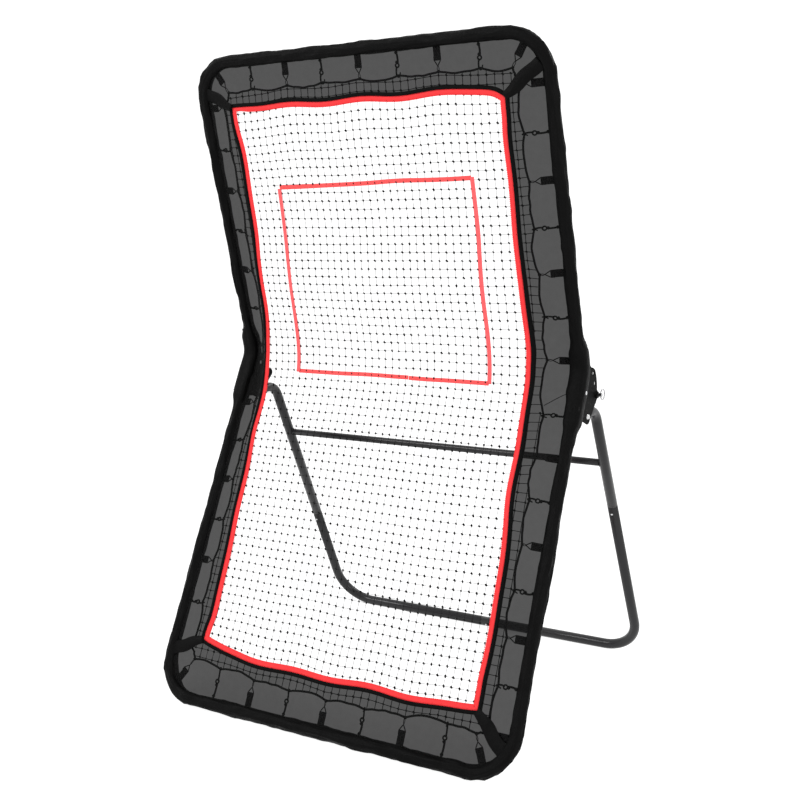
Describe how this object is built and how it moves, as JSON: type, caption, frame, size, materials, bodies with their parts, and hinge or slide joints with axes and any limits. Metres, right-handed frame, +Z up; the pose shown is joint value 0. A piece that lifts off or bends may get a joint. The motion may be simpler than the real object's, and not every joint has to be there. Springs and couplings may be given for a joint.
{
  "type": "pitching target net",
  "caption": "V-shaped rebounder net with a strike zone, on a tubular frame that stands on its lower end and a folding rear stand.",
  "frame": {"origin": "on the floor, at the middle of the footprint of the front tube and the rear bar", "axes": "+Z up, -Y towards the pitcher, +X to the pitcher's right when facing the net"},
  "size_m": [1.264, 1.0678, 1.9771],
  "materials": {
    "powder_coat": "glossy dark grey powder coat",
    "black_steel": "black paint",
    "zinc_steel": "bright zinc plate",
    "chrome": "bright chrome plate",
    "sleeve_fabric": "black woven polyester",
    "mesh_fabric": "fine black open mesh that looks dark grey",
    "netting": "knotted black nylon twine",
    "red_webbing": "bright red woven webbing",
    "black_webbing": "black elastic webbing and cord"
  },
  "bodies": {
    "lower_frame": {"hinge_bracket_left": "black_steel", "hinge_bracket_right": "black_steel", "leg_bolt_left": "zinc_steel", "leg_bolt_right": "zinc_steel", "leg_nut_left": "zinc_steel", "leg_nut_right": "zinc_steel", "lower_cover_bottom": "mesh_fabric", "lower_cover_left": "mesh_fabric", "lower_cover_right": "mesh_fabric", "lower_left_tube": "powder_coat", "lower_net": "netting", "lower_red_border": "red_webbing", "lower_right_tube": "powder_coat", "lower_sleeve_bottom": "sleeve_fabric", "lower_sleeve_left": "sleeve_fabric", "lower_sleeve_right": "sleeve_fabric", "lower_strike_ribbon": "red_webbing", "lower_suspension": "black_webbing", "lower_tube_insert": "zinc_steel", "pin_guide_left": "black_steel", "pin_guide_right": "black_steel", "pivot_bolt_left": "zinc_steel", "pivot_bolt_right": "zinc_steel", "pivot_nut_left": "zinc_steel", "pivot_nut_right": "zinc_steel"},
    "upper_frame": {"lock_plate_left": "black_steel", "lock_plate_right": "black_steel", "upper_cover_left": "mesh_fabric", "upper_cover_right": "mesh_fabric", "upper_cover_top": "mesh_fabric", "upper_left_tube": "powder_coat", "upper_net": "netting", "upper_red_border": "red_webbing", "upper_right_tube": "powder_coat", "upper_sleeve_left": "sleeve_fabric", "upper_sleeve_right": "sleeve_fabric", "upper_sleeve_top": "sleeve_fabric", "upper_strike_ribbon": "red_webbing", "upper_suspension": "black_webbing", "upper_tube_insert": "zinc_steel"},
    "rear_stand": {"bar_insert": "zinc_steel", "cross_bar": "powder_coat", "leg_insert_left": "zinc_steel", "leg_insert_right": "zinc_steel", "leg_lower_left": "powder_coat", "leg_lower_right": "powder_coat", "leg_upper_left": "powder_coat", "leg_upper_right": "powder_coat"},
    "lock_pin_left": {"lock_pin_left": "chrome"},
    "lock_pin_right": {"lock_pin_right": "chrome"},
    "snap_button_bar": {"snap_button_bar": "zinc_steel"},
    "snap_button_left": {"snap_button_left": "zinc_steel"},
    "snap_button_right": {"snap_button_right": "zinc_steel"},
    "split_ring_left": {"split_ring_left": "chrome"},
    "split_ring_right": {"split_ring_right": "chrome"}
  },
  "joints": [
    {"name": "upper_tilt", "type": "hinge", "parent": "lower_frame", "child": "upper_frame", "pos_m": [0, -0.0423, 0.96451], "axis": [1, 0, 0], "range_deg": [-41, 0]},
    {"name": "stand_fold", "type": "hinge", "parent": "lower_frame", "child": "rear_stand", "pos_m": [0, -0.02041, 0.89247], "axis": [1, 0, 0], "range_deg": [-58, 0]},
    {"name": "lock_pin_left_pull", "type": "slide", "parent": "lower_frame", "child": "lock_pin_left", "axis": [-1, 0, 0], "range_m": [-0.006, 0.012]},
    {"name": "split_ring_left_swing", "type": "hinge", "parent": "lock_pin_left", "child": "split_ring_left", "pos_m": [-0.628, 0.04899, 0.94677], "axis": [0, 0, 1], "range_deg": [0, 80]},
    {"name": "lock_pin_right_pull", "type": "slide", "parent": "lower_frame", "child": "lock_pin_right", "axis": [1, 0, 0], "range_m": [-0.006, 0.012]},
    {"name": "split_ring_right_swing", "type": "hinge", "parent": "lock_pin_right", "child": "split_ring_right", "pos_m": [0.628, 0.04899, 0.94677], "axis": [0, 0, 1], "range_deg": [-80, 0]},
    {"name": "snap_button_left_press", "type": "slide", "parent": "rear_stand", "child": "snap_button_left", "axis": [0, -0.9023, -0.4311], "range_m": [-0.004, 0], "stiffness_N_per_m": 600, "springref_m": 0.003},
    {"name": "snap_button_right_press", "type": "slide", "parent": "rear_stand", "child": "snap_button_right", "axis": [0, -0.9023, -0.4311], "range_m": [-0.004, 0], "stiffness_N_per_m": 600, "springref_m": 0.003},
    {"name": "snap_button_bar_press", "type": "slide", "parent": "rear_stand", "child": "snap_button_bar", "axis": [0, -0.9023, -0.4311], "range_m": [-0.004, 0], "stiffness_N_per_m": 600, "springref_m": 0.003}
  ]
}
